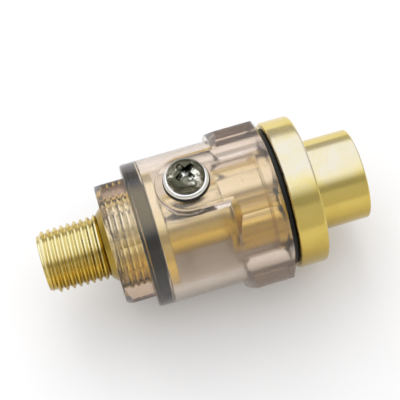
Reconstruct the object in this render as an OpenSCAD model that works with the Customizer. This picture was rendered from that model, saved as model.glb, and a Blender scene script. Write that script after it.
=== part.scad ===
// Mini in-line air lubricator: a clear oil bowl clamped round a brass flow tube.
// Air enters the female port at +X and leaves through the male thread at -X.
// X is the flow axis, and Z points along the fill screw.
// The origin lies on the flow axis, where the male thread meets its shoulder.

/* [Outlet thread] */
// Outside diameter of the male pipe thread
thread_d = 13.4; // [12.6:0.1:14.2]
// Length of the male thread, from its tip to the shoulder
thread_len = 11.6; // [9:0.1:18]
// Lead chamfer at the tip of the thread
thread_chamfer = 0.9; // [0.4:0.1:1.2]
// Distance from one thread ridge to the next
thread_pitch = 1.41; // [1.3:0.01:1.9]
// Height of the thread ridges
thread_depth = 0.7; // [0.3:0.1:0.8]
// Diameter of the air bore in the outlet
outlet_bore_d = 8; // [6.6:0.1:8.6]
// Length of the brass shoulder between the thread and the neck
shoulder_len = 2.8; // [1.2:0.1:5]

/* [Hexagon neck] */
// Width of the neck across its flats
neck_af = 25; // [23:0.1:25.6]
// Length of the neck
neck_len = 6.2; // [5:0.1:12]
// Diameter of the fine thread that holds the stem in the neck
neck_thread_d = 16; // [15.6:0.1:17]

/* [Clear bowl] */
// Outside diameter of the round part of the bowl
bowl_d = 30.8; // [30:0.1:33]
// Length of the round part of the bowl
bowl_len = 18.9; // [17:0.1:30]
// Thickness of the wall round the oil chamber
bowl_wall = 2.9; // [2.2:0.1:3.1]
// Thickness of the wall between the neck and the sealing ring
end_wall = 0.9; // [0.6:0.1:2]
// Height of the collar's flats above the round part of the bowl
collar_step = 1.2; // [0.8:0.1:2.6]
// Length of the hexagon collar
collar_len = 10.3; // [7:0.1:16]
// Chamfer on the corners at the open end of the collar
collar_chamfer = 1.1; // [0.4:0.1:1.6]
// Amount turned off the sharp corners of both hexagons
corner_cut = 0.5; // [0.1:0.1:1]
// Length of the chamfer on those corners, towards the outlet
corner_lead = 1.4; // [0.4:0.1:2.4]

/* [Sealing rings] */
// Radial width of the sealing ring behind the neck
neck_ring_width = 2.5; // [2:0.1:2.6]
// Squeezed thickness of the sealing ring behind the neck
neck_ring_len = 2.7; // [2:0.1:3.4]
// How far the edge of the gasket at the open end lies inside the bowl's round surface
gasket_inset = 0.7; // [0.2:0.1:1.4]
// Squeezed thickness of that gasket
gasket_len = 1.3; // [0.8:0.1:2.4]
// Squeezed width of the ring that seals the tube in the inlet body
tube_ring_len = 1.9; // [1.4:0.1:2.4]
// Radial depth of the groove for that ring
tube_groove_depth = 1.2; // [0.8:0.1:1.5]

/* [Flow tube] */
// Length of the flange that squeezes the ring behind the neck
flange_len = 2; // [1.4:0.1:3]
// Outside diameter of the tube in the oil chamber
tube_d = 12.2; // [11.8:0.1:13]
// Diameter of the air bore in the tube
tube_bore_d = 7.2; // [6.4:0.1:7.6]
// Diameter of the throat where the air draws oil
throat_d = 5; // [3.5:0.1:5.6]
// Length of the throat
throat_len = 3.4; // [2.6:0.1:4.4]
// Length of the taper on each side of the throat
throat_taper = 1.8; // [1:0.1:2.4]
// Depth of the socket in the inlet body that takes the tube
socket_depth = 8; // [6:0.1:9]
// Diameter of the hole that lets air pressure into the bowl
bleed_d = 1.2; // [0.8:0.1:1.6]

/* [Oil wick] */
// Diameter of the felt wick
wick_d = 2; // [1.4:0.1:2.4]
// Gap between the tip of the wick and the wall of the bowl
wick_gap = 0.6; // [0.3:0.1:2]

/* [Inlet body] */
// Height of the brass collar above the round part of the bowl
brass_step = 0.5; // [0:0.1:0.8]
// Length of the brass collar
brass_collar_len = 6.2; // [4:0.1:10]
// Diameter of the round female end
inlet_d = 19.4; // [17.4:0.1:22]
// Length of the female end beyond the collar
inlet_len = 11.2; // [8:0.1:18]
// Diameter of the hole that the inlet thread is cut in
port_d = 11.44; // [10.8:0.02:12]
// Depth of the inlet port
port_depth = 11; // [9:0.1:13]
// Chamfer round the outside of the mouth
mouth_chamfer = 0.4; // [0.2:0.1:1]
// Chamfer on the edges of the brass collar
brass_edge = 0.6; // [0.2:0.1:1.2]
// Diameter of the boss inside the bowl
boss_d = 18.8; // [17:0.1:21]
// How far the boss reaches past the hexagon collar into the bowl
boss_reach = 1; // [0:0.1:3]
// Length of the spigot that centres the brass collar in the bowl
spigot_len = 2.4; // [1.6:0.1:4]

/* [Fill screw] */
// Distance from the hexagon collar back to the fill screw
fill_set_back = 7.1; // [6:0.1:8.4]
// Radius of the raised pad round the fill screw
pad_r = 6.5; // [5.6:0.1:7.2]
// Outside diameter of the screw's thread
screw_d = 4.9; // [4.6:0.1:5.2]
// Length of the screw under its head
screw_len = 7.2; // [6.4:0.1:8.6]
// Diameter of the screw's domed head
head_d = 7.7; // [7.2:0.1:8.6]
// Height of the screw's domed head
head_h = 2.5; // [2.3:0.1:3.2]
// Diameter of the washer
washer_d = 9.1; // [9:0.1:10.6]
// Thickness of the washer
washer_t = 0.8; // [0.5:0.1:1.4]
// Diameter of the seal under the washer
seal_d = 8.8; // [8.4:0.1:9]
// Thickness of the seal under the washer
seal_t = 0.9; // [0.6:0.1:1.6]
// Width of each slot of the cross recess
recess_w = 1.1; // [0.7:0.1:1.4]
// Length of each slot of the cross recess
recess_len = 4.6; // [3.4:0.1:5]
// Depth of the cross recess
recess_depth = 1.7; // [1:0.1:2]

/* [Hidden] */
// Radial clearance between parts that are screwed or pressed together
fit = 0.03;
// Radial clearance of the fill screw in its tapped hole
screw_fit = 0.06;
// Gap between flat faces that seat on each other
seat_gap = 0.02;
// Radial gap round the shank in the washer and its seal
washer_gap = 0.15;
// Overshoot that lets a cut pass clean through a face
over = 1;
// Small chamfer on turned brass edges inside the bowl
small_edge = 0.3;
// Chamfer on the outer edge where the round part of the bowl meets the neck
bowl_edge = 0.6;
// Chamfer at the mouth of the inlet thread
port_chamfer = 1.1;
// Distance from the flange to the middle of the throat
throat_set = 3.9;
// Distance from the boss back to the bleed hole
bleed_set = 1.6;
// Distance from the face of the boss to the tube's groove
groove_set = 1.4;
// Slope of the cone that a drill leaves at the bottom of a hole
drill_slope = tan(30);
// Share of the thread's pitch that its flat crest takes
crest_share = 0.24;
$fn = 96;

// Places along the flow axis
x_tip = -thread_len;
x_neck = shoulder_len;
x_bowl = x_neck + neck_len;
x_ring = x_bowl + end_wall;
x_flange = x_ring + neck_ring_len + 2 * seat_gap;
x_tube = x_flange + flange_len;
x_throat = x_tube + throat_set;
x_collar = x_bowl + bowl_len;
x_face = x_collar + collar_len;
x_brass = x_face + gasket_len + 2 * seat_gap;
x_inlet = x_brass + brass_collar_len;
x_mouth = x_inlet + inlet_len;
x_boss = x_collar - boss_reach;
x_tube_end = x_boss + socket_depth - seat_gap;
x_spigot = x_face - spigot_len;
x_fill = x_collar - fill_set_back;

// Radii about the flow axis, and the collar's width across its flats
collar_af = bowl_d + 2 * collar_step;
brass_collar_r = bowl_d / 2 + brass_step;
gasket_r = bowl_d / 2 - gasket_inset;
thread_r = thread_d / 2;
crest_len = crest_share * thread_pitch;
neck_r = neck_thread_d / 2;
ring_seat_r = neck_r + neck_ring_width + 2 * fit;
chamber_r = bowl_d / 2 - bowl_wall;
flange_r = chamber_r - 0.15;
spigot_r = chamber_r - fit;
tube_r = tube_d / 2;
groove_r = tube_r - tube_groove_depth;
neck_corner_r = neck_af / 2 / cos(30) - corner_cut;
collar_corner_r = collar_af / 2 / cos(30) - corner_cut;

// Heights along the fill screw
z_pad = collar_af / 2;
z_seal = z_pad + seat_gap;
z_washer = z_seal + seal_t + seat_gap;
z_head = z_washer + washer_t + seat_gap;
screw_r = screw_d / 2;

// Turn an outline of [radius, place along X] about the flow axis
module turned(outline)
    rotate([0, 90, 0])
        rotate_extrude()
            polygon(outline);

// A straight round bar or hole along the flow axis
module bar(r, from, to)
    translate([from, 0, 0])
        rotate([0, 90, 0])
            cylinder(r = r, h = to - from);

// A hexagon bar along the flow axis with flats above and below
module hexagon_bar(across_flats, from, to)
    translate([from, 0, 0])
        rotate([0, 90, 0])
            rotate(30)
                cylinder(d = across_flats / cos(30), h = to - from, $fn = 6);

// A squeezed rubber ring: round where it is free, flat where it is pressed
module squeezed_ring(inner_r, outer_r, from, to) {
    width = outer_r - inner_r;
    length = to - from;
    round_d = sqrt(width * width + length * length) * 0.86;
    rotate([0, 90, 0])
        rotate_extrude()
            translate([inner_r + width / 2, from + length / 2])
                intersection() {
                    circle(d = max(round_d, 1.04 * max(width, length)));
                    square([width, length], center = true);
                }
}

// Outside of the hexagon neck, with the corners of its free end chamfered
module neck_block()
    intersection() {
        hexagon_bar(neck_af, x_neck, x_bowl + end_wall);
        turned([
            [0, x_neck],
            [neck_af / 2, x_neck],
            [neck_corner_r, x_neck + corner_lead],
            [neck_corner_r, x_bowl + end_wall],
            [0, x_bowl + end_wall]
        ]);
    }

// Outside of the hexagon collar, chamfered towards the brass collar
module collar_block()
    intersection() {
        hexagon_bar(collar_af, x_collar, x_face);
        turned([
            [0, x_collar],
            [collar_af / 2, x_collar],
            [collar_corner_r, x_collar + corner_lead],
            [collar_corner_r, x_face - collar_chamfer],
            [collar_corner_r - 2 * collar_chamfer, x_face],
            [0, x_face]
        ]);
    }

// Raised pad with a round end that carries the fill screw, level with the collar's flat
module fill_pad() {
    translate([x_fill, 0, 0])
        cylinder(r = pad_r, h = z_pad);
    translate([x_fill, -pad_r, 0])
        cube([fill_set_back + seat_gap, 2 * pad_r, z_pad]);
}

// Hollow inside the bowl: thread hole in the neck, seat of the ring and oil chamber
module bowl_hollow() {
    bar(neck_r + fit, x_neck - over, x_ring + over);
    bar(ring_seat_r, x_ring, x_flange + over);
    bar(chamber_r, x_flange, x_face + over);
    translate([x_fill, 0, chamber_r / 2])
        cylinder(r = screw_r + screw_fit, h = z_pad);
}

// Clear bowl, moulded in one piece with its hexagon neck and hexagon collar
module bowl()
    color([0.86, 0.78, 0.72, 0.5])
        difference() {
            union() {
                neck_block();
                turned([
                    [0, x_bowl],
                    [bowl_d / 2 - bowl_edge, x_bowl],
                    [bowl_d / 2, x_bowl + bowl_edge],
                    [bowl_d / 2, x_collar + over],
                    [0, x_collar + over]
                ]);
                collar_block();
                fill_pad();
            }
            bowl_hollow();
        }

// Air bore of the stem, narrowed to a throat over the wick
module stem_bore() {
    throat_start = x_throat - throat_len / 2;
    throat_end = x_throat + throat_len / 2;
    turned([
        [0, x_tip - over],
        [outlet_bore_d / 2, x_tip - over],
        [outlet_bore_d / 2, throat_start - throat_taper],
        [throat_d / 2, throat_start],
        [throat_d / 2, throat_end],
        [tube_bore_d / 2, throat_end + throat_taper],
        [tube_bore_d / 2, x_tube_end + over],
        [0, x_tube_end + over]
    ]);
}

// Outline of the male thread, drawn as a row of ridges with flat crests, from the shoulder to the tip
function ridge_outline() =
    let (ridges = floor((thread_len - thread_chamfer - crest_len) / thread_pitch))
    [
        for (ridge = [ridges:-1:0])
            let (crest_end = -ridge * thread_pitch)
            for (point = [
                [thread_r, ridge == ridges ? x_tip + thread_chamfer : crest_end - crest_len],
                [thread_r, crest_end],
                [thread_r - thread_depth, crest_end + (thread_pitch - crest_len) / 2]
            ])
                if (point[1] <= 0)
                    point
    ];

// Brass stem: male outlet, thread in the neck, flange and tube in one turned piece
module outlet_stem()
    color("goldenrod")
        difference() {
            turned(concat([
                [0, x_tip],
                [thread_r - thread_chamfer, x_tip]
            ], ridge_outline(), [
                [neck_r - small_edge, shoulder_len],
                [neck_r, shoulder_len + small_edge],
                [neck_r, x_flange],
                [flange_r - small_edge, x_flange],
                [flange_r, x_flange + small_edge],
                [flange_r, x_tube - small_edge],
                [flange_r - small_edge, x_tube],
                [tube_r + small_edge, x_tube],
                [tube_r, x_tube + small_edge],
                [tube_r, x_tube_end - small_edge],
                [tube_r - small_edge, x_tube_end],
                [0, x_tube_end]
            ]));
            stem_bore();
            tube_groove();
            wick_hole();
            bleed_hole();
        }

// Groove in the tube for the ring that seals it in the inlet body
module tube_groove()
    difference() {
        bar(tube_r + over, x_boss + groove_set, x_boss + groove_set + tube_ring_len + 2 * seat_gap);
        bar(groove_r, x_boss, x_boss + groove_set + tube_ring_len + over);
    }

// Hole through the wall of the throat that the wick is pressed into
module wick_hole()
    translate([x_throat, 0, -tube_r - over])
        cylinder(r = wick_d / 2 + fit, h = tube_r + over);

// Small hole that lets inlet pressure act on the oil
module bleed_hole()
    translate([x_boss - bleed_set, 0, 0])
        rotate([-90, 0, 0])
            cylinder(d = bleed_d, h = tube_r + over);

// Felt wick from the bottom of the bowl up to the throat
module feed_wick()
    color("ivory")
        translate([x_throat, 0, -chamber_r + wick_gap])
            cylinder(d = wick_d, h = chamber_r - wick_gap - throat_d / 2);

// Dark ring squeezed between the stem's flange and the end of the bowl
module neck_ring()
    color("darkslategray")
        squeezed_ring(neck_r + fit, ring_seat_r - fit, x_ring + seat_gap, x_flange - seat_gap);

// Black gasket squeezed between the bowl and the brass collar
module bowl_gasket()
    color("black")
        squeezed_ring(spigot_r + fit, gasket_r, x_face + seat_gap, x_brass - seat_gap);

// Ring in the tube's groove
module tube_ring() {
    ring_start = x_boss + groove_set + seat_gap;
    color("black")
        squeezed_ring(groove_r + fit, tube_r, ring_start, ring_start + tube_ring_len);
}

// Brass inlet body: female end, collar, spigot and boss in one turned piece
module inlet_body()
    color("darkgoldenrod")
        difference() {
            turned([
                [0, x_boss],
                [boss_d / 2 - small_edge, x_boss],
                [boss_d / 2, x_boss + small_edge],
                [boss_d / 2, x_spigot],
                [spigot_r - small_edge, x_spigot],
                [spigot_r, x_spigot + small_edge],
                [spigot_r, x_brass],
                [brass_collar_r - brass_edge, x_brass],
                [brass_collar_r, x_brass + brass_edge],
                [brass_collar_r, x_inlet - brass_edge],
                [brass_collar_r - brass_edge, x_inlet],
                [inlet_d / 2, x_inlet],
                [inlet_d / 2, x_mouth - mouth_chamfer],
                [inlet_d / 2 - mouth_chamfer, x_mouth],
                [0, x_mouth]
            ]);
            inlet_bore();
        }

// Inlet port, air bore and socket for the tube, cut in one turned outline
module inlet_bore() {
    port_r = port_d / 2;
    bore_r = tube_bore_d / 2;
    x_port = x_mouth - port_depth;
    socket_r = tube_r + fit;
    turned([
        [0, x_boss - over],
        [socket_r, x_boss - over],
        [socket_r, x_tube_end + seat_gap],
        [bore_r, x_tube_end + seat_gap],
        [bore_r, x_port - (port_r - bore_r) * drill_slope],
        [port_r, x_port],
        [port_r, x_mouth - port_chamfer],
        [port_r + port_chamfer, x_mouth],
        [port_r + port_chamfer, x_mouth + over],
        [0, x_mouth + over]
    ]);
}

// Rubber seal between the pad and the washer
module fill_seal()
    color("black")
        translate([x_fill, 0, z_seal])
            rotate([0, -90, 0])
                squeezed_ring(screw_r + washer_gap, seal_d / 2, 0, seal_t);

// Plated washer under the head of the fill screw
module fill_washer()
    color("silver")
        translate([x_fill, 0, z_washer])
            rotate([0, -90, 0])
                turned([
                    [screw_r + washer_gap, 0],
                    [washer_d / 2, 0],
                    [washer_d / 2, washer_t / 2],
                    [washer_d / 2 - washer_t / 2, washer_t],
                    [screw_r + washer_gap, washer_t]
                ]);

// Cross recess in the head of the screw
module cross_recess()
    for (turn = [0, 90])
        rotate(turn)
            translate([-recess_len / 2, -recess_w / 2, head_h - recess_depth])
                cube([recess_len, recess_w, recess_depth + over]);

// Fill screw with a domed cross-recess head, drawn over its own origin under the head
module fill_screw_blank() {
    dome_r = (head_d * head_d / 4 + head_h * head_h) / (2 * head_h) * 1.06;
    intersection() {
        cylinder(d = head_d, h = head_h);
        translate([0, 0, head_h - dome_r])
            sphere(r = dome_r);
    }
    translate([0, 0, -screw_len])
        cylinder(r1 = screw_r - small_edge, r2 = screw_r, h = small_edge);
    translate([0, 0, small_edge - screw_len])
        cylinder(r = screw_r, h = screw_len);
}

// Plated fill screw
module fill_screw()
    color("gainsboro")
        translate([x_fill, 0, z_head])
            difference() {
                fill_screw_blank();
                cross_recess();
            }

bowl();
outlet_stem();
inlet_body();
neck_ring();
bowl_gasket();
tube_ring();
feed_wick();
fill_seal();
fill_washer();
fill_screw();
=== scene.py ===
"""Mini in-line air lubricator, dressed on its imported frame.

X is the flow axis, with the male outlet at -X, and Z points along the fill screw.
Every piece is made in metres at its own place, and its object stays at the origin.
"""
import math

import bmesh
import bpy
from mathutils import Matrix, Vector


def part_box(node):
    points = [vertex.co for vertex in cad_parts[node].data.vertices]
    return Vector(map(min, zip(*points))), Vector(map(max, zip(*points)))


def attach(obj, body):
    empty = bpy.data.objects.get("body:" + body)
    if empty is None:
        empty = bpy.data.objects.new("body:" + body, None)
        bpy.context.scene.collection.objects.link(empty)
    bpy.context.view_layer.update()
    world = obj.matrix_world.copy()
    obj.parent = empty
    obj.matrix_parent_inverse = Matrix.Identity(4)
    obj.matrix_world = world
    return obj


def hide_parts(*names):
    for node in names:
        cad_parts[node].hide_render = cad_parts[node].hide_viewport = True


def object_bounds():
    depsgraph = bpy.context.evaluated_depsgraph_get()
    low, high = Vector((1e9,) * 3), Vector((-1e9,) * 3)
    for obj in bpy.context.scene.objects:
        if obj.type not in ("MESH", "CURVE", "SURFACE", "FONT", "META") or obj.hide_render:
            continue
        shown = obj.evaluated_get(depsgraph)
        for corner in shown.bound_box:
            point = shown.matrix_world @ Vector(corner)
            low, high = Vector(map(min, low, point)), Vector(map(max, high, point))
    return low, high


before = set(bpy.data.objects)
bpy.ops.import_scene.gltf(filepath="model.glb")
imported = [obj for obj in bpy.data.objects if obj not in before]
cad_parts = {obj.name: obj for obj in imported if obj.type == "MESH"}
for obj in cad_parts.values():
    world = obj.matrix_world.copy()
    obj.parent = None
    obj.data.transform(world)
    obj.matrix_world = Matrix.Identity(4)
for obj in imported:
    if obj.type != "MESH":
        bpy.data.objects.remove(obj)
cad_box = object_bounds()
scene = bpy.context.scene
MM = 0.001

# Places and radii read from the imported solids
bowl_low, bowl_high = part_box("bowl")
stem_low, stem_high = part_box("outlet_stem")
inlet_low, inlet_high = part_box("inlet_body")
ring_low, ring_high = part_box("neck_ring")
gasket_low, gasket_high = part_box("bowl_gasket")
seal_low, seal_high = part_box("fill_seal")
washer_low, washer_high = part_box("fill_washer")
screw_low, screw_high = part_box("fill_screw")

X_NECK, X_FACE = bowl_low.x, bowl_high.x
COLLAR_HALF, COLLAR_CORNER = bowl_high.z, bowl_high.y
X_TIP, X_TUBE_END, FLANGE_R = stem_low.x, stem_high.x, stem_high.y
X_BOSS, X_MOUTH, BRASS_R = inlet_low.x, inlet_high.x, inlet_high.y
X_RING, X_FLANGE, RING_R = ring_low.x, ring_high.x, ring_high.y
X_BRASS = gasket_high.x
X_FILL = (washer_low.x + washer_high.x) / 2
Z_SCREW_END, Z_SCREW_TOP = screw_low.z, screw_high.z

# Sizes of the clear bowl
NECK_FLATS = 25 * MM
NECK_CORNER = 13.93 * MM
END_WALL = 0.9 * MM
BARREL_R = 15.4 * MM
BARREL_EDGE = 0.7 * MM
CHAMBER_R = 12.5 * MM
ROUGH_BORE_R = 8.5 * MM
COLLAR_LENGTH = 10.3 * MM
COLLAR_CHAMFER = 1.1 * MM
CORNER_LEAD = 1.4 * MM
PAD_R = 6.5 * MM
PAD_RIM = 0.6 * MM
PAD_STEPS = 48
FILL_HOLE_R = 2.51 * MM
X_BOWL = X_RING - END_WALL
X_COLLAR = X_FACE - COLLAR_LENGTH
X_PAD_END = X_COLLAR + 2 * MM
Z_PAD_FOOT = CHAMBER_R + 0.7 * MM

# Sizes of the brass
OUTLET_BORE_R = 4 * MM
BORE_LEAD = 0.3 * MM
X_THREAD_END = 1.2 * MM
X_SHOULDER = 1.5 * MM
SHOULDER_R = 6.9 * MM
FLARE_R = 8 * MM
TUBE_R = 6.1 * MM
TUBE_BORE_R = 3.6 * MM
THROAT_R = 2.5 * MM
THROAT_HALF = 1.7 * MM
TAPER_HALF = 3.5 * MM
FLANGE_LENGTH = 2 * MM
WICK_HOLE_R = 1.03 * MM
BLEED_HOLE_R = 0.6 * MM
BOSS_R = 9.4 * MM
SPIGOT_R = 12.47 * MM
SPIGOT_LENGTH = 2.4 * MM
BRASS_COLLAR_LENGTH = 6.2 * MM
BRASS_COLLAR_EDGE = 0.7 * MM
INLET_R = 9.7 * MM
PORT_DEPTH = 11 * MM
X_INLET = X_BRASS + BRASS_COLLAR_LENGTH
X_TUBE = X_FLANGE + FLANGE_LENGTH
X_THROAT = X_TUBE + 3.9 * MM
X_BLEED = X_BOSS - 1.6 * MM

# Threads: pitch, and depth from crest to root
PIPE_PITCH, PIPE_DEPTH = 1.41 * MM, 0.7 * MM
PIPE_CREST_TIP, PIPE_CREST_SHOULDER = 6.62 * MM, 6.95 * MM
NECK_PITCH, NECK_DEPTH = 1.25 * MM, 0.55 * MM
NECK_CREST = 8 * MM
NECK_ROOT = NECK_CREST - NECK_DEPTH
PORT_ROOT, PORT_THREAD_DEPTH = 6.5 * MM, 0.78 * MM
SCREW_PITCH, SCREW_DEPTH = 0.8 * MM, 0.42 * MM
SCREW_CREST = 2.42 * MM
RIDGE_SHARE, CREST_SHARE = 0.97, 0.22
ALONG_FLOW, UPRIGHT = (0, math.pi / 2, 0), (0, 0, 0)

# Sizes of the fill screw's head, its recess, its washer and the rings
HEAD_R = 3.85 * MM
HEAD_RIM = 0.75 * MM
DOME_STEPS = 16
DOME_FULLNESS = 0.86
RECESS_FLOOR = (-1.7 * MM, 1.3 * MM, 0.3 * MM)
RECESS_MOUTH = (0.3 * MM, 2.6 * MM, 0.72 * MM)
RECESS_TURNS = (math.radians(32), math.radians(122))
WASHER_HOLE_R = 2.6 * MM
SEAL_HOLE_R = 2.62 * MM
SEAL_BULGE = 0.32 * MM
NECK_RING_HOLE_R = 8.05 * MM
NECK_RING_PRESS = 0.09 * MM

# Gaps, soft edges and fineness
END_GAP = 0.02 * MM
SIDE_GAP = 0.03 * MM
PAST = 1 * MM
SOFT_EDGE = 0.25 * MM
ROUND_STEPS = 6
SEGMENTS = 192
MERGE = 0.0001 * MM
SLIVER = 0.001 * MM
SHARP_ANGLE = math.radians(24)
TO_FILL_SCREW = Matrix.Translation((X_FILL, 0, 0)) @ Matrix.Rotation(math.radians(-90), 4, "Y")


# Mesh helpers

def rounded(corners):
    """A closed outline of (x, radius, rounding) corners, with each rounding drawn as a curve."""
    outline = []
    for index, (x, r, rounding) in enumerate(corners):
        corner = Vector((x, r))
        before = Vector(corners[index - 1][:2]) - corner
        after = Vector(corners[(index + 1) % len(corners)][:2]) - corner
        reach = min(rounding, 0.45 * before.length, 0.45 * after.length)
        if reach <= 0:
            outline.append((x, r))
            continue
        start = corner + before.normalized() * reach
        end = corner + after.normalized() * reach
        for step in range(ROUND_STEPS + 1):
            t = step / ROUND_STEPS
            point = start * (1 - t) ** 2 + corner * 2 * t * (1 - t) + end * t ** 2
            outline.append((point.x, point.y))
    return outline


def drill(low, high, radius):
    """The outline of a drill of that radius, from low to high along its axis."""
    return [(low, 0), (low, radius), (high, radius), (high, 0)]


def turned(outline, place=Matrix.Identity(4), closed=True):
    """Turn an outline of (x, radius) about the X axis; an open one starts and ends on the axis."""
    bm = bmesh.new()
    angles = [2 * math.pi * step / SEGMENTS for step in range(SEGMENTS)]
    rings = []
    for x, r in outline:
        if r < MERGE:
            points = [(x, 0, 0)]
        else:
            points = [(x, r * math.sin(angle), r * math.cos(angle)) for angle in angles]
        rings.append([bm.verts.new(place @ Vector(point)) for point in points])
    following = rings[1:] + (rings[:1] if closed else [])
    for one, two in zip(rings, following):
        for i in range(SEGMENTS):
            j = (i + 1) % SEGMENTS
            corners = [one[i % len(one)], one[j % len(one)], two[j % len(two)], two[i % len(two)]]
            corners = list(dict.fromkeys(corners))
            if len(corners) > 2:
                bm.faces.new(corners)
    return bm


def prism(loops):
    """Join loops of points, one above the other, and close both ends."""
    bm = bmesh.new()
    rings = [[bm.verts.new(point) for point in loop] for loop in loops]
    for one, two in zip(rings, rings[1:]):
        for i in range(len(one)):
            j = (i + 1) % len(one)
            bm.faces.new((one[i], one[j], two[j], two[i]))
    bm.faces.new(list(reversed(rings[0])))
    bm.faces.new(rings[-1])
    return bm


def hexagon_bar(half_flats, x_from, x_to):
    """A hexagon bar along X with flats above and below."""
    corner = half_flats / math.cos(math.radians(30))
    turns = [math.radians(30 + 60 * side) for side in range(6)]
    return prism([
        [(x, corner * math.sin(turn), corner * math.cos(turn)) for turn in turns]
        for x in (x_from, x_to)
    ])


def solid(name, bm):
    """Make a mesh object from bm, with its doubles merged and its faces outwards."""
    bmesh.ops.remove_doubles(bm, verts=bm.verts, dist=MERGE)
    bmesh.ops.recalc_face_normals(bm, faces=bm.faces)
    mesh = bpy.data.meshes.new(name)
    bm.to_mesh(mesh)
    bm.free()
    thing = bpy.data.objects.new(name, mesh)
    scene.collection.objects.link(thing)
    return thing


def evaluated_mesh(thing):
    """The object's mesh after its modifiers, which are then removed."""
    bpy.context.view_layer.update()
    shown = thing.evaluated_get(bpy.context.evaluated_depsgraph_get())
    mesh = bpy.data.meshes.new_from_object(shown)
    thing.modifiers.clear()
    return mesh


def combine(base, operation, bm):
    """Add, cut or keep the part of base that bm gives: UNION, DIFFERENCE or INTERSECT."""
    tool = solid("tool", bm)
    change = base.modifiers.new("combine", "BOOLEAN")
    change.object = tool
    change.operation = operation
    change.solver = "EXACT"
    base.data = evaluated_mesh(base)
    bpy.data.objects.remove(tool)


def cleaned(thing):
    """The same piece without the slivers that cutting and adding leave."""
    bm = bmesh.new()
    bm.from_mesh(thing.data)
    bmesh.ops.remove_doubles(bm, verts=bm.verts, dist=SLIVER)
    bmesh.ops.triangulate(bm, faces=bm.faces)
    bmesh.ops.dissolve_degenerate(bm, dist=SLIVER, edges=bm.edges)
    bmesh.ops.triangulate(bm, faces=bm.faces)
    bmesh.ops.recalc_face_normals(bm, faces=bm.faces)
    bm.to_mesh(thing.data)
    bm.free()
    return thing


def taken(*things):
    """One mesh from several objects, which are removed."""
    bm = bmesh.new()
    for thing in things:
        bm.from_mesh(thing.data)
        bpy.data.objects.remove(thing)
    return bm


def fit_out(piece, material, body, slot, *stands_for):
    """Shade a finished piece, give it its material, and set it on its body."""
    piece.data.materials.clear()
    piece.data.materials.append(material)
    piece.data.polygons.foreach_set("material_index", [0] * len(piece.data.polygons))
    piece.data.shade_smooth()
    piece.data.set_sharp_from_angle(angle=SHARP_ANGLE)
    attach(piece, body)
    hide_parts(*stands_for)


# Node helpers

def feed(tree, socket, value):
    """Link a socket to another one, or set its plain value."""
    if isinstance(value, bpy.types.NodeSocket):
        tree.links.new(value, socket)
    else:
        socket.default_value = value


def give(tree, step, **inputs):
    """Set or link a node's inputs by name."""
    for name, value in inputs.items():
        feed(tree, step.inputs[name.replace("_", " ")], value)


def add(tree, kind, settings=None, **inputs):
    """Add a node, set its properties, and set or link its inputs by name."""
    step = tree.nodes.new(kind)
    for name, value in (settings or {}).items():
        setattr(step, name, value)
    give(tree, step, **inputs)
    return step


def maths(tree, operation, *values, clamp=False):
    """A sum on one or two values, each a socket or a plain number."""
    step = add(tree, "ShaderNodeMath", {"operation": operation, "use_clamp": clamp})
    for socket, value in zip(step.inputs, values):
        feed(tree, socket, value)
    return step.outputs[0]


def vector_maths(tree, operation, *values):
    """The outputs of a sum on one or two vectors."""
    step = add(tree, "ShaderNodeVectorMath", {"operation": operation})
    for socket, value in zip(step.inputs, values):
        feed(tree, socket, value)
    return step.outputs


def make_sockets(group, inputs, outputs):
    """Give a node group its named inputs and outputs; what it is given comes back."""
    for way, sockets in (("INPUT", inputs), ("OUTPUT", outputs)):
        for name, kind in sockets.items():
            group.interface.new_socket(name=name, in_out=way, socket_type="NodeSocket" + kind)
    return group.nodes.new("NodeGroupInput").outputs


# Threads, made by one geometry node tree

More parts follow.
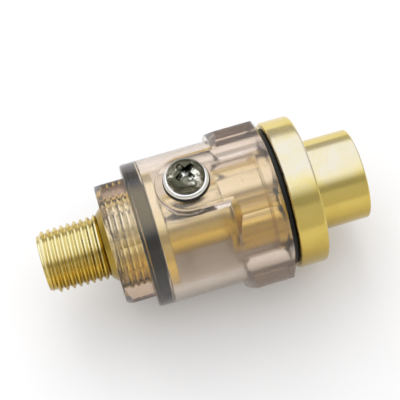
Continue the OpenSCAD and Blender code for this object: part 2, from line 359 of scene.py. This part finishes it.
def thread_tree():
    """A thread ridge that winds along +Z, runs out at both ends, and is turned and moved into place."""
    tree = bpy.data.node_groups.new("thread_ridge", "GeometryNodeTree")
    given = make_sockets(tree, {
        "Pitch": "Float", "Turns": "Float", "Start Radius": "Float", "End Radius": "Float",
        "Depth": "Float", "Ridge Width": "Float", "Crest Width": "Float", "Steps per Turn": "Int",
        "Place": "Vector", "Lean": "Vector", "Metal": "Material",
    }, {"Geometry": "Geometry"})

    # The path: a spiral that rises by the pitch at each turn
    path = add(tree, "GeometryNodeCurveSpiral", Resolution=given["Steps per Turn"],
               Rotations=given["Turns"], Start_Radius=given["Start Radius"],
               End_Radius=given["End Radius"],
               Height=maths(tree, "MULTIPLY", given["Pitch"], given["Turns"]))
    level = add(tree, "GeometryNodeSetCurveNormal", {"mode": "Z_UP"}, Curve=path.outputs["Curve"])

    # The section: wide at its root and narrow at its crest; its own X points to the axis
    outwards = maths(tree, "MULTIPLY", given["Depth"], -1.0)
    half_root = maths(tree, "MULTIPLY", given["Ridge Width"], 0.5)
    half_crest = maths(tree, "MULTIPLY", given["Crest Width"], 0.5)
    section = add(tree, "GeometryNodeCurvePrimitiveQuadrilateral", {"mode": "POINTS"})
    for index, (height, half, side) in enumerate((
        (0.0, half_root, -1.0), (outwards, half_crest, -1.0),
        (outwards, half_crest, 1.0), (0.0, half_root, 1.0),
    )):
        point = add(tree, "ShaderNodeCombineXYZ", X=height, Y=maths(tree, "MULTIPLY", half, side))
        feed(tree, section.inputs[f"Point {index + 1}"], point.outputs[0])

    # The run-out: the ridge grows from nothing over half a turn at each end
    along = add(tree, "GeometryNodeSplineParameter").outputs["Factor"]
    from_end = maths(tree, "MINIMUM", along, maths(tree, "SUBTRACT", 1.0, along))
    turns_from_end = maths(tree, "MULTIPLY", from_end, given["Turns"])
    fade = maths(tree, "MINIMUM", maths(tree, "MULTIPLY", turns_from_end, 2.0), 1.0)

    ridge = add(tree, "GeometryNodeCurveToMesh", Curve=level.outputs["Curve"],
                Profile_Curve=section.outputs["Curve"], Fill_Caps=True,
                Scale=maths(tree, "MAXIMUM", fade, 0.02))
    placed = add(tree, "GeometryNodeTransform", Geometry=ridge.outputs["Mesh"],
                 Translation=given["Place"], Rotation=given["Lean"])
    real = add(tree, "GeometryNodeRealizeInstances", Geometry=placed.outputs["Geometry"])
    coated = add(tree, "GeometryNodeSetMaterial", Geometry=real.outputs["Geometry"],
                 Material=given["Metal"])
    add(tree, "NodeGroupOutput", Geometry=coated.outputs["Geometry"])
    return tree


THREAD = thread_tree()


def thread(name, metal, place, length, pitch, start_root, end_root, depth,
           lean=ALONG_FLOW, steps=72):
    """A thread ridge from place, on roots that may taper; a negative depth points inwards."""
    thing = solid(name, bmesh.new())
    change = thing.modifiers.new("thread", "NODES")
    change.node_group = THREAD
    sizes = {
        "Pitch": pitch, "Turns": length / pitch,
        "Start Radius": start_root, "End Radius": end_root, "Depth": depth,
        "Ridge Width": RIDGE_SHARE * pitch, "Crest Width": CREST_SHARE * pitch,
        "Steps per Turn": steps, "Place": place, "Lean": lean, "Metal": metal,
    }
    for item in THREAD.interface.items_tree:
        if item.name in sizes and item.in_out == "INPUT":
            change[item.identifier] = sizes[item.name]
    thing.data = evaluated_mesh(thing)
    return thing


# Material helpers

def ramp(tree, factor, stops):
    """A colour ramp through (place, colour) stops."""
    step = add(tree, "ShaderNodeValToRGB", Fac=factor)
    band = step.color_ramp
    while len(band.elements) < len(stops):
        band.elements.new(0.5)
    for element, (place, colour) in zip(band.elements, stops):
        element.position = place
        element.color = (*colour, 1)
    return step.outputs["Color"]


def spread(tree, value, low, high):
    """Bring a value from 0..1 into low..high."""
    return add(tree, "ShaderNodeMapRange", Value=value, To_Min=low, To_Max=high).outputs["Result"]


def eased(tree, value, start, end, smooth=False):
    """0 where the value is at start, 1 where it is at end, and held beyond them."""
    kind = {"interpolation_type": "SMOOTHSTEP" if smooth else "LINEAR"}
    step = add(tree, "ShaderNodeMapRange", kind, Value=value, From_Min=start, From_Max=end)
    return step.outputs["Result"]


def between(tree, value, low, high, soft):
    """A mask of 1 between low and high and 0 outside them, with soft ends."""
    rise = eased(tree, value, low - soft, low + soft)
    fall = eased(tree, value, high + soft, high - soft)
    return maths(tree, "MULTIPLY", rise, fall)


def mixed(tree, factor, first, second):
    """The first colour where the factor is 0 and the second where it is 1."""
    step = add(tree, "ShaderNodeMix", {"data_type": "RGBA"}, Factor=factor)
    first_colour, second_colour = step.inputs[6], step.inputs[7]
    feed(tree, first_colour, first)
    feed(tree, second_colour, second)
    return step.outputs[2]


def noise(tree, place, scale, detail, **more):
    """The value of a noise texture."""
    step = add(tree, "ShaderNodeTexNoise", Vector=place, Scale=scale, Detail=detail, **more)
    return step.outputs["Fac"]


def marks_group():
    """Shared handling marks: soft smudges, and fine scratches at two slants."""
    group = bpy.data.node_groups.new("handling_marks", "ShaderNodeTree")
    given = make_sockets(
        group, {"Vector": "Vector", "Smudge Scale": "Float", "Scratch Scale": "Float"},
        {"Smudge": "Float", "Scratch": "Float"})
    clouds = noise(group, given["Vector"], given["Smudge Scale"], 4.0, Roughness=0.6, Distortion=0.6)
    lines = []
    for slant, stretch in ((0.6, (1, 14, 5)), (-0.9, (9, 1, 16))):
        turn = add(group, "ShaderNodeMapping", Vector=given["Vector"],
                   Rotation=(slant, 0.4, slant), Scale=stretch)
        streaks = noise(group, turn.outputs["Vector"], given["Scratch Scale"], 2.0, Roughness=0.5)
        lines.append(eased(group, streaks, 0.64, 0.72))
    add(group, "NodeGroupOutput", Smudge=eased(group, clouds, 0.35, 0.7, smooth=True),
        Scratch=maths(group, "MAXIMUM", *lines))
    return group


def turning_group():
    """Shared turning marks: fine rings round the X axis, as a lathe tool leaves them."""
    group = bpy.data.node_groups.new("turning_marks", "ShaderNodeTree")
    given = make_sockets(group, {"Vector": "Vector", "Spacing": "Float"}, {"Height": "Float"})
    along = add(group, "ShaderNodeMapping", Vector=given["Vector"], Scale=(1, 0.012, 0.012))
    rings = noise(group, along.outputs["Vector"], given["Spacing"], 3.0, Roughness=0.7)
    add(group, "NodeGroupOutput", Height=rings)
    return group


MARKS = marks_group()
TURNING = turning_group()


def new_material(name):
    """A node material with a Principled shader, its tree and its Object coordinates."""
    material = bpy.data.materials.new(name)
    material.use_nodes = True
    tree = material.node_tree
    place = add(tree, "ShaderNodeTexCoord").outputs["Object"]
    return material, tree, tree.nodes["Principled BSDF"], place


def marks(tree, place, smudge_scale, scratch_scale):
    """The shared handling marks, placed in a material at its own scale."""
    step = add(tree, "ShaderNodeGroup", {"node_tree": MARKS}, Vector=place,
               Smudge_Scale=smudge_scale, Scratch_Scale=scratch_scale)
    return step.outputs["Smudge"], step.outputs["Scratch"]


def dulled(tree, smudge, scratch, low, high, scratched):
    """A roughness from low to high by the smudges, with more of it along the scratches."""
    return maths(tree, "ADD", spread(tree, smudge, low, high),
                 spread(tree, scratch, 0.0, scratched), clamp=True)


def bump(tree, shader, height, strength, distance, under=None):
    """A bump from height, over another bump where one is given."""
    step = add(tree, "ShaderNodeBump", Height=height, Strength=strength, Distance=distance)
    if under:
        give(tree, step, Normal=under)
    give(tree, shader, Normal=step.outputs["Normal"])
    return step.outputs["Normal"]


def upper_side(tree, place):
    """How far up round the flow axis a place is: 1 on top, 0 beside the axis, -1 below."""
    across = vector_maths(tree, "MULTIPLY", place, (0, 1, 1))["Vector"]
    unit = vector_maths(tree, "NORMALIZE", across)["Vector"]
    return add(tree, "ShaderNodeSeparateXYZ", Vector=unit).outputs["Z"]


# Materials; brass has three ramps, each from a pale painted highlight at 0 to a dark painted shade at
# 1: outside, at the outlet, and inside the bowl, where the brass is painted brighter to stand in for
# light lost in the clear wall

OUTER_BRASS_LIT_TO_SHADED = ((0.0, (0.68, 0.62, 0.49)), (0.15, (0.74, 0.60, 0.19)),
                 (0.5, (0.635, 0.475, 0.12)), (1.0, (0.39, 0.265, 0.05)))
OUTLET_BRASS_LIT_TO_SHADED = ((0.0, (0.79, 0.715, 0.43)), (0.15, (0.70, 0.58, 0.235)),
                (0.5, (0.59, 0.42, 0.08)), (1.0, (0.33, 0.22, 0.036)))
# Painted light: a brighter copy of brass for inside the bowl, standing in for light lost in the clear
# wall
BOWL_BRASS_PAINTED_BRIGHTER = ((0.0, (0.98, 0.95, 0.80)), (0.15, (0.93, 0.85, 0.50)),
               (0.5, (0.92, 0.72, 0.16)), (1.0, (0.57, 0.40, 0.05)))
STAINED_PLATING = ((0.0, (0.078, 0.077, 0.050)), (0.55, (0.115, 0.11, 0.072)),
                   (0.78, (0.24, 0.23, 0.17)), (0.95, (0.80, 0.77, 0.66)))
BRIGHT_PLATING = ((0.0, (0.93, 0.91, 0.86)), (1.0, (0.82, 0.80, 0.75)))
WORN_RECESS = ((0.40, (0.07, 0.085, 0.06)), (0.50, (0.30, 0.30, 0.26)), (0.60, (0.90, 0.88, 0.82)))
CLEAR_TINT = ((0.0, (0.925, 0.855, 0.765)), (1.0, (0.90, 0.815, 0.71)))
OILY_FELT = ((0.0, (0.80, 0.74, 0.58)), (1.0, (0.62, 0.52, 0.34)))


def brass_material():
    """Turned brass, painted darker underneath, on the shoulder and most on the boss as painted shade,
    paler on top as a painted highlight, and brighter inside the bowl as painted light; smudges add a
    little real dirt.
    """
    material, tree, shader, place = new_material("turned_brass")
    smudge, scratch = marks(tree, place, 140.0, 260.0)
    rings = add(tree, "ShaderNodeGroup", {"node_tree": TURNING}, Vector=place, Spacing=5200.0)
    along = add(tree, "ShaderNodeSeparateXYZ", Vector=place).outputs["X"]
    # The shoulder beside the bowl's neck is painted darker as shade
    shoulder = between(tree, along, 1.3 * MM, X_NECK + 0.2 * MM, 0.3 * MM)
    at_outlet = between(tree, along, X_TIP - PAST, X_NECK + 0.2 * MM, 0.2 * MM)
    in_bowl = between(tree, along, X_NECK + 0.3 * MM, X_FACE - 0.2 * MM, 0.2 * MM)
    in_collar = between(tree, along, X_BOSS, X_FACE - 0.2 * MM, 0.2 * MM)
    # Painted shade: darker as the surface turns down round the flow axis, with a pale painted highlight
    # on top
    under = spread(tree, eased(tree, upper_side(tree, place), 0.98, 0.1), 0.0, 0.8)
    # The painted shade is strongest on the boss inside the collar
    painted_shade_below = maths(tree, "MULTIPLY", under, spread(tree, in_collar, 1.0, 2.4))
    # Small smudges are real dirt; the shoulder adds painted shade
    grime_and_shoulder_shade = maths(tree, "ADD", spread(tree, smudge, 0.0, 0.06), spread(tree, shoulder, 0.0, 0.9))
    tarnish_and_painted_shade = maths(tree, "ADD", painted_shade_below, grime_and_shoulder_shade, clamp=True)
    outer_lit_to_shaded = ramp(tree, tarnish_and_painted_shade, OUTER_BRASS_LIT_TO_SHADED)
    outlet_lit_to_shaded = ramp(tree, tarnish_and_painted_shade, OUTLET_BRASS_LIT_TO_SHADED)
    bowl_painted_brighter = ramp(tree, tarnish_and_painted_shade, BOWL_BRASS_PAINTED_BRIGHTER)
    # Brass in the bowl takes the brighter painted copy; the outlet and the outside take their painted
    # highlight-to-shade ramps
    colour = mixed(tree, in_bowl, mixed(tree, at_outlet, outer_lit_to_shaded, outlet_lit_to_shaded), bowl_painted_brighter)
    give(tree, shader, Base_Color=colour, Metallic=1.0,
         Roughness=dulled(tree, smudge, scratch, 0.13, 0.22, 0.12))
    turning = bump(tree, shader, rings.outputs["Height"], 0.12, 0.05 * MM)
    bump(tree, shader, scratch, 0.06, -0.02 * MM, turning)
    return material


def clear_plastic_material():
    """Clear moulded plastic with a faint warm tint."""
    material, tree, shader, place = new_material("clear_plastic")
    smudge, scratch = marks(tree, place, 90.0, 220.0)
    give(tree, shader, Base_Color=ramp(tree, smudge, CLEAR_TINT), Transmission_Weight=0.98, IOR=1.56,
         Roughness=dulled(tree, smudge, scratch, 0.10, 0.16, 0.06))
    flow = bump(tree, shader, noise(tree, place, 160.0, 1.0), 0.10, 0.06 * MM)
    bump(tree, shader, scratch, 0.05, -0.02 * MM, flow)
    tint = add(tree, "ShaderNodeVolumeAbsorption", Color=(0.63, 0.39, 0.19, 1), Density=34.0)
    give(tree, tree.nodes["Material Output"], Volume=tint.outputs["Volume"])
    return material


def rubber_material(name, dark, pale, painted_sheen, dull, shine):
    """Black rubber with a fine grain, and a paler painted sheen on its upper side."""
    material, tree, shader, place = new_material(name)
    smudge, _ = marks(tree, place, 240.0, 300.0)
    # Painted sheen: a paler colour on the side facing up, standing in for light from above
    above = eased(tree, upper_side(tree, place), 0.84, 1.0, smooth=True)
    colour = mixed(tree, above, ramp(tree, smudge, ((0.0, dark), (1.0, pale))), (*painted_sheen, 1))
    give(tree, shader, Base_Color=colour, Specular_IOR_Level=shine,
         Roughness=spread(tree, smudge, dull, dull + 0.15))
    bump(tree, shader, noise(tree, place, 5200.0, 2.0), 0.15, 0.03 * MM)
    return material


def plated_steel_material(name, blotch, stops):
    """Plated steel with fine rubbing marks, worn bright in places inside the recess."""
    material, tree, shader, place = new_material(name)
    smudge, scratch = marks(tree, place, blotch, 700.0)
    height = add(tree, "ShaderNodeSeparateXYZ", Vector=place).outputs["Z"]
    sunk = eased(tree, height, Z_SCREW_TOP - 0.45 * MM, Z_SCREW_TOP - 0.6 * MM)
    middle = vector_maths(tree, "SUBTRACT", place, (X_FILL, 0, Z_SCREW_TOP))["Vector"]
    reach = vector_maths(tree, "LENGTH", middle)["Value"]
    recess = maths(tree, "MULTIPLY", sunk, eased(tree, reach, 2.75 * MM, 2.65 * MM))
    worn = ramp(tree, noise(tree, place, 620.0, 1.0), WORN_RECESS)
    give(tree, shader, Base_Color=mixed(tree, recess, ramp(tree, smudge, stops), worn), Metallic=1.0,
         Roughness=dulled(tree, smudge, scratch, 0.09, 0.2, 0.15))
    bump(tree, shader, scratch, 0.1, -0.02 * MM)
    return material


def felt_material():
    """Pressed felt, stained a little by oil."""
    material, tree, shader, place = new_material("pressed_felt")
    smudge, scratch = marks(tree, place, 300.0, 900.0)
    give(tree, shader, Base_Color=ramp(tree, smudge, OILY_FELT), Sheen_Weight=0.3,
         Roughness=spread(tree, scratch, 0.85, 0.95))
    bump(tree, shader, noise(tree, place, 4200.0, 5.0, Roughness=0.75), 0.6, 0.12 * MM)
    return material


BRASS = brass_material()
CLEAR = clear_plastic_material()
# The third colour of each rubber is the painted sheen on its upper side
RUBBER = rubber_material("black_rubber", (0.006, 0.006, 0.005), (0.018, 0.018, 0.016),
                         (0.02, 0.02, 0.017), dull=0.45, shine=0.25)
OILED_RUBBER = rubber_material("oiled_rubber", (0.006, 0.006, 0.004), (0.012, 0.012, 0.009),
                               (0.38, 0.35, 0.21), dull=0.26, shine=0.2)
STAINED_STEEL = plated_steel_material("stained_plating", 330.0, STAINED_PLATING)
BRIGHT_STEEL = plated_steel_material("bright_plating", 420.0, BRIGHT_PLATING)
FELT = felt_material()


# The clear bowl

def pad_loops(top):
    """Outlines of the raised pad, from inside the wall up round its soft rim."""
    heights = [(0, Z_PAD_FOOT)]
    for step in range(ROUND_STEPS + 1):
        turn = math.radians(90) * step / ROUND_STEPS
        heights.append((PAD_RIM * (1 - math.cos(turn)), top - PAD_RIM + PAD_RIM * math.sin(turn)))
    loops = []
    for inset, height in heights:
        radius = PAD_R - inset
        end = X_PAD_END - inset
        loop = [(end, radius, height)]
        for step in range(PAD_STEPS + 1):
            turn = math.radians(90 + 180 * step / PAD_STEPS)
            loop.append((X_FILL + radius * math.cos(turn), radius * math.sin(turn), height))
        loop.append((end, -radius, height))
        loops.append(loop)
    return loops


def make_bowl():
    """The bowl in one piece: hexagon neck, round barrel, hexagon collar and the fill screw's pad."""
    bowl = solid("clear_bowl", turned(rounded([
        (X_BOWL, ROUGH_BORE_R, 0), (X_BOWL, BARREL_R, BARREL_EDGE),
        (X_COLLAR + PAST, BARREL_R, 0), (X_COLLAR + PAST, ROUGH_BORE_R, 0),
    ])))
    neck = solid("neck", hexagon_bar(NECK_FLATS / 2, X_NECK, X_BOWL + END_WALL / 2))
    combine(neck, "INTERSECT", turned(rounded([
        (X_NECK, 0, 0), (X_NECK, NECK_FLATS / 2, SOFT_EDGE),
        (X_NECK + CORNER_LEAD, NECK_CORNER, SOFT_EDGE),
        (X_BOWL + END_WALL, NECK_CORNER, 0), (X_BOWL + END_WALL, 0, 0),
    ]), closed=False))
    collar = solid("collar", hexagon_bar(COLLAR_HALF, X_COLLAR, X_FACE))
    combine(collar, "INTERSECT", turned(rounded([
        (X_COLLAR, 0, 0), (X_COLLAR, COLLAR_HALF, SOFT_EDGE),
        (X_COLLAR + CORNER_LEAD, COLLAR_CORNER, SOFT_EDGE),
        (X_FACE - COLLAR_CHAMFER, COLLAR_CORNER, SOFT_EDGE),
        (X_FACE, COLLAR_CORNER - 2 * COLLAR_CHAMFER, SOFT_EDGE), (X_FACE, 0, 0),
    ]), closed=False))
    combine(bowl, "UNION", taken(neck))
    combine(bowl, "UNION", taken(collar))
    combine(bowl, "UNION", prism(pad_loops(COLLAR_HALF - SIDE_GAP)))
    combine(bowl, "DIFFERENCE", turned(rounded([
        (X_RING - END_GAP, 0, 0), (X_RING - END_GAP, RING_R + SIDE_GAP, 0.5 * MM),
        (X_FLANGE + END_GAP, RING_R + SIDE_GAP, 0), (X_FLANGE + END_GAP, CHAMBER_R, SOFT_EDGE),
        (X_FACE + PAST, CHAMBER_R, 0), (X_FACE + PAST, 0, 0),
    ]), closed=False))
    neck_bore = drill(X_NECK - PAST, X_RING + PAST, NECK_ROOT)
    combine(bowl, "DIFFERENCE", turned(neck_bore, closed=False))
    fill_hole = drill(ROUGH_BORE_R, COLLAR_HALF + PAST, FILL_HOLE_R)
    combine(bowl, "DIFFERENCE", turned(fill_hole, TO_FILL_SCREW, closed=False))
    fit_out(cleaned(bowl), CLEAR, "housing", "clear_plastic", "bowl")


# The brass pieces

def make_outlet_stem():
    """The turned stem with its pipe thread, the fine thread in the neck, its flange and the tube."""
    tip_root = PIPE_CREST_TIP - PIPE_DEPTH
    shoulder_root = PIPE_CREST_SHOULDER - PIPE_DEPTH
    pipe_sink, neck_sink = 0.1 * MM, 0.05 * MM
    stem = solid("stem_core", turned(rounded([
        (X_TIP, OUTLET_BORE_R + BORE_LEAD, SOFT_EDGE), (X_TIP, tip_root - pipe_sink, SOFT_EDGE),
        (X_TIP + 0.5 * MM, tip_root, 0), (X_THREAD_END, shoulder_root, 0.3 * MM),
        (X_SHOULDER, SHOULDER_R, 0.4 * MM), (X_NECK - 0.1 * MM, FLARE_R, 0.5 * MM),
        (X_NECK, FLARE_R + 0.1 * MM, 0), (X_NECK + 0.4 * MM, NECK_ROOT, 0),
        (X_FLANGE - 0.6 * MM, NECK_ROOT, 0), (X_FLANGE, NECK_ROOT + 0.3 * MM, 0),
        (X_FLANGE, FLANGE_R, SOFT_EDGE), (X_TUBE, FLANGE_R, SOFT_EDGE),
        (X_TUBE, TUBE_R, 0.5 * MM), (X_TUBE_END, TUBE_R, SOFT_EDGE),
        (X_TUBE_END, TUBE_BORE_R, SOFT_EDGE), (X_THROAT + TAPER_HALF, TUBE_BORE_R, SOFT_EDGE),
        (X_THROAT + THROAT_HALF, THROAT_R, SOFT_EDGE), (X_THROAT - THROAT_HALF, THROAT_R, SOFT_EDGE),
        (X_THROAT - TAPER_HALF, OUTLET_BORE_R, SOFT_EDGE),
        (X_TIP + BORE_LEAD, OUTLET_BORE_R, SOFT_EDGE),
    ])))
    quarter = math.radians(90)
    for x, axis, radius in ((X_THROAT, "Y", WICK_HOLE_R), (X_BLEED, "Z", BLEED_HOLE_R)):
        place = Matrix.Translation((x, 0, 0)) @ Matrix.Rotation(quarter, 4, axis)
        combine(stem, "DIFFERENCE", turned(drill(1 * MM, 8 * MM, radius), place, closed=False))
    pipe = thread("pipe_thread", BRASS, (X_TIP + 0.4 * MM, 0, 0), X_SHOULDER - X_TIP, PIPE_PITCH,
                  tip_root - pipe_sink, shoulder_root - pipe_sink, PIPE_DEPTH + pipe_sink)
    fine = thread("neck_thread", BRASS, (X_NECK + 0.7 * MM, 0, 0), X_FLANGE - X_NECK - 1.4 * MM,
                  NECK_PITCH, NECK_ROOT - neck_sink, NECK_ROOT - neck_sink, NECK_DEPTH + neck_sink)
    whole = solid("brass_outlet_stem", taken(stem, pipe, fine))
    fit_out(whole, BRASS, "housing", "brass", "outlet_stem")


def make_inlet_body():
    """The turned inlet body with its female end, collar, spigot and boss."""
    x_port = X_MOUTH - PORT_DEPTH
    port_sink = 0.05 * MM
    body = solid("inlet_core", turned(rounded([
        (X_BOSS, TUBE_R + SIDE_GAP, 0), (X_BOSS, BOSS_R, SOFT_EDGE),
        (X_FACE - SPIGOT_LENGTH, BOSS_R, SOFT_EDGE), (X_FACE - SPIGOT_LENGTH, SPIGOT_R, SOFT_EDGE),
        (X_BRASS, SPIGOT_R, 0), (X_BRASS, BRASS_R, BRASS_COLLAR_EDGE),
        (X_INLET, BRASS_R, BRASS_COLLAR_EDGE), (X_INLET, INLET_R, 0.3 * MM),
        (X_MOUTH, INLET_R, 0.45 * MM), (X_MOUTH, PORT_ROOT + 0.5 * MM, SOFT_EDGE),
        (X_MOUTH - 0.9 * MM, PORT_ROOT - 0.2 * MM, 0), (X_MOUTH - 1.2 * MM, PORT_ROOT, 0),
        (x_port, PORT_ROOT, 0), (x_port - 1.3 * MM, TUBE_BORE_R, SOFT_EDGE),
        (X_TUBE_END + END_GAP, TUBE_BORE_R, 0), (X_TUBE_END + END_GAP, TUBE_R + SIDE_GAP, 0),
    ])))
    port = thread("port_thread", BRASS, (x_port + 0.2 * MM, 0, 0), PORT_DEPTH - 0.9 * MM, PIPE_PITCH,
                  PORT_ROOT + port_sink, PORT_ROOT + port_sink, -PORT_THREAD_DEPTH)
    fit_out(solid("brass_inlet_body", taken(body, port)), BRASS, "housing", "brass", "inlet_body")


# The rubber rings

def make_ring(name, node, material, ends, radii, rounding, body, place=Matrix.Identity(4)):
    """A squeezed rubber ring with soft corners, between two ends along its axis and two radii."""
    low, high = ends
    inner, outer = radii
    ring = solid(name, turned(rounded([
        (low, inner, rounding), (low, outer, rounding),
        (high, outer, rounding), (high, inner, rounding),
    ]), place))
    fit_out(ring, material, body, "rubber", node)


# The fill screw with its washer

def recess_wing(turn):
    """One tapered wing of the cross recess."""
    loops = []
    for height, half_length, half_width in (RECESS_FLOOR, RECESS_MOUTH):
        middle = Vector((X_FILL, 0, Z_SCREW_TOP + height))
        corners = [Vector((half_length * a, half_width * b, 0))
                   for a, b in ((1, 1), (-1, 1), (-1, -1), (1, -1))]
        loops.append([Matrix.Rotation(turn, 3, "Z") @ corner + middle for corner in corners])
    return prism(loops)


def make_fill_screw():
    """The domed screw with its cross recess and thread."""
    z_head = washer_high.z + END_GAP
    z_rim = z_head + HEAD_RIM
    root, sink = SCREW_CREST - SCREW_DEPTH, 0.04 * MM
    dome = [(Z_SCREW_TOP, 0)]
    for step in range(1, DOME_STEPS):
        turn = math.radians(90) * step / DOME_STEPS
        dome.append((z_rim + (Z_SCREW_TOP - z_rim) * math.cos(turn),
                     HEAD_R * math.sin(turn) ** DOME_FULLNESS))
    shank = rounded([
        (z_rim, HEAD_R, 0), (z_head, HEAD_R, 0.3 * MM), (z_head, root, 0),
        (Z_SCREW_END + 0.4 * MM, root, 0.1 * MM), (Z_SCREW_END, root - 0.4 * MM, 0),
    ])
    outline = dome + shank + [(Z_SCREW_END, 0)]
    screw = solid("screw_core", turned(outline, TO_FILL_SCREW, closed=False))
    for turn in RECESS_TURNS:
        combine(screw, "DIFFERENCE", recess_wing(turn))
    ridge = thread("screw_thread", STAINED_STEEL, (X_FILL, 0, Z_SCREW_END + 0.3 * MM),
                   z_head - Z_SCREW_END - 0.7 * MM, SCREW_PITCH, root - sink, root - sink,
                   SCREW_DEPTH + sink, UPRIGHT, 48)
    whole = solid("plated_fill_screw", taken(screw, ridge))
    fit_out(whole, STAINED_STEEL, "screw", "plated_steel", "fill_screw")


def make_washer():
    """The plated washer with a rolled upper rim."""
    outer = (washer_high.y - washer_low.y) / 2
    washer = solid("plated_washer", turned(rounded([
        (washer_low.z, WASHER_HOLE_R, 0), (washer_low.z, outer, 0.15 * MM),
        (washer_low.z + 0.35 * MM, outer, 0.2 * MM), (washer_high.z, outer - 0.5 * MM, 0.25 * MM),
        (washer_high.z, WASHER_HOLE_R, 0),
    ]), TO_FILL_SCREW))
    fit_out(washer, BRIGHT_STEEL, "washer", "plated_steel", "fill_washer")


make_bowl()
make_outlet_stem()
make_inlet_body()
# The ring behind the neck presses into the wall, so that no air shows between them
make_ring("neck_seal_ring", "neck_ring", OILED_RUBBER, (X_RING, X_FLANGE),
          (NECK_RING_HOLE_R, RING_R + NECK_RING_PRESS), 0.5 * MM, "housing")
make_ring("bowl_gasket_ring", "bowl_gasket", RUBBER, (gasket_low.x, gasket_high.x),
          (SPIGOT_R + 0.05 * MM, gasket_high.y), 0.4 * MM, "housing")
make_ring("fill_seal_ring", "fill_seal", RUBBER, (seal_low.z, seal_high.z),
          (SEAL_HOLE_R, seal_high.y + SEAL_BULGE), SOFT_EDGE, "washer", TO_FILL_SCREW)
make_fill_screw()
make_washer()
# The tube's ring and the wick keep their solids
for node_name, material in (("tube_ring", RUBBER), ("feed_wick", FELT)):
    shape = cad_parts[node_name].data
    shape.materials.clear()
    shape.materials.append(material)


# Studio

FLOOR_HALF, FLOOR_DEPTH = 1.5, 2 * MM
FLOOR_PALE = ((0.0, (0.79, 0.773, 0.745)), (1.0, (0.80, 0.783, 0.755)))
FLOOR_LIFT = 0.14
TENT_LEVEL = 1.55
# The tent's arch, from the horizon in front, over the top, to the horizon behind
TENT_ARCH = (
    (0.0, (0.47, 0.46, 0.44)), (0.19, (0.43, 0.42, 0.40)), (0.22, (0.28, 0.27, 0.26)),
    (0.28, (0.28, 0.27, 0.26)), (0.34, (0.62, 0.63, 0.66)), (0.40, (0.84, 0.87, 0.94)),
    (0.86, (0.84, 0.87, 0.94)), (0.90, (0.39, 0.38, 0.365)), (1.0, (0.37, 0.36, 0.345)),
)
TENT_ENDS = (0.45, 0.44, 0.425, 1)
LAMP_PLACE, LAMP_SIZE, LAMP_POWER = (0.02, 0.36, 0.36), 0.4, 0.7
CAMERA_AZIMUTH, CAMERA_ELEVATION = math.radians(-9.28), math.radians(61.31)
CAMERA_ROLL = math.radians(-8.0)
CAMERA_DISTANCE = 234 * MM
CAMERA_ASIDE, CAMERA_ABOVE = 0.41 * MM, 3.98 * MM
CAMERA_CENTRE = Vector((22 * MM, 0, 0))


def shown_strength(tree, strength):
    """That strength for what the camera, metal and clear plastic see; nothing for other light."""
    path = add(tree, "ShaderNodeLightPath").outputs
    direct = maths(tree, "MAXIMUM", path["Is Camera Ray"], path["Is Glossy Ray"])
    shown = maths(tree, "MAXIMUM", direct, path["Is Transmission Ray"])
    return maths(tree, "MULTIPLY", shown, strength)


def make_floor():
    """A pale floor under the part, white to the camera, that keeps the part's soft shadow."""
    height = cad_box[0].z
    floor = solid("floor", prism([
        [(FLOOR_HALF * a, FLOOR_HALF * b, z) for a, b in ((-1, -1), (1, -1), (1, 1), (-1, 1))]
        for z in (height - FLOOR_DEPTH, height)
    ]))
    material, tree, shader, place = new_material("pale_floor")
    give(tree, shader, Base_Color=ramp(tree, noise(tree, place, 90.0, 2.0), FLOOR_PALE),
         Roughness=0.9, Specular_IOR_Level=0.0, Emission_Color=(1, 1, 1, 1),
         Emission_Strength=shown_strength(tree, FLOOR_LIFT))
    floor.data.materials.append(material)


def make_world():
    """A light tent: a wide bright arch behind and above, a dark strip in front, grey all round."""
    world = bpy.data.worlds.new("light_tent")
    scene.world = world
    world.use_nodes = True
    tree = world.node_tree
    way = add(tree, "ShaderNodeTexCoord").outputs["Generated"]
    axes = add(tree, "ShaderNodeSeparateXYZ", Vector=way).outputs
    arch = maths(tree, "ARCTAN2", axes["Z"], maths(tree, "MULTIPLY", axes["Y"], -1.0))
    tent = ramp(tree, eased(tree, arch, 0.0, math.pi), TENT_ARCH)
    ends = eased(tree, maths(tree, "ABSOLUTE", axes["X"]), 0.5, 0.85, smooth=True)
    give(tree, tree.nodes["Background"], Color=mixed(tree, ends, tent, TENT_ENDS),
         Strength=TENT_LEVEL)


def make_lamp():
    """A soft lamp behind the part, which lights it and isn't seen in its reflections."""
    lamp = bpy.data.lights.new("back_lamp", "AREA")
    lamp.shape = "DISK"
    lamp.size = LAMP_SIZE
    lamp.energy = LAMP_POWER
    thing = bpy.data.objects.new("back_lamp", lamp)
    thing.location = LAMP_PLACE
    aim = Vector((20 * MM, 0, 0)) - thing.location
    thing.rotation_euler = aim.to_track_quat("-Z", "Y").to_euler()
    thing.visible_glossy = False
    thing.visible_transmission = False
    scene.collection.objects.link(thing)


def make_camera():
    """A long lens that looks down on the part as the photograph does."""
    flat = math.cos(CAMERA_ELEVATION)
    back = Vector((math.sin(CAMERA_AZIMUTH) * flat, -math.cos(CAMERA_AZIMUTH) * flat,
                   math.sin(CAMERA_ELEVATION)))
    level = Vector((math.cos(CAMERA_AZIMUTH), math.sin(CAMERA_AZIMUTH), 0))
    upward = back.cross(level)
    right = level * math.cos(CAMERA_ROLL) + upward * math.sin(CAMERA_ROLL)
    up = upward * math.cos(CAMERA_ROLL) - level * math.sin(CAMERA_ROLL)
    lens = bpy.data.cameras.new("camera")
    lens.lens = 100
    lens.sensor_width = 36
    lens.clip_start, lens.clip_end = 0.01, 10
    camera = bpy.data.objects.new("camera", lens)
    stand = CAMERA_CENTRE + back * CAMERA_DISTANCE + right * CAMERA_ASIDE + up * CAMERA_ABOVE
    turn = Matrix((right, up, back)).transposed()
    camera.matrix_world = Matrix.Translation(stand) @ turn.to_4x4()
    scene.collection.objects.link(camera)
    scene.camera = camera


make_floor()
make_world()
make_lamp()
make_camera()
scene.view_settings.view_transform = "Standard"
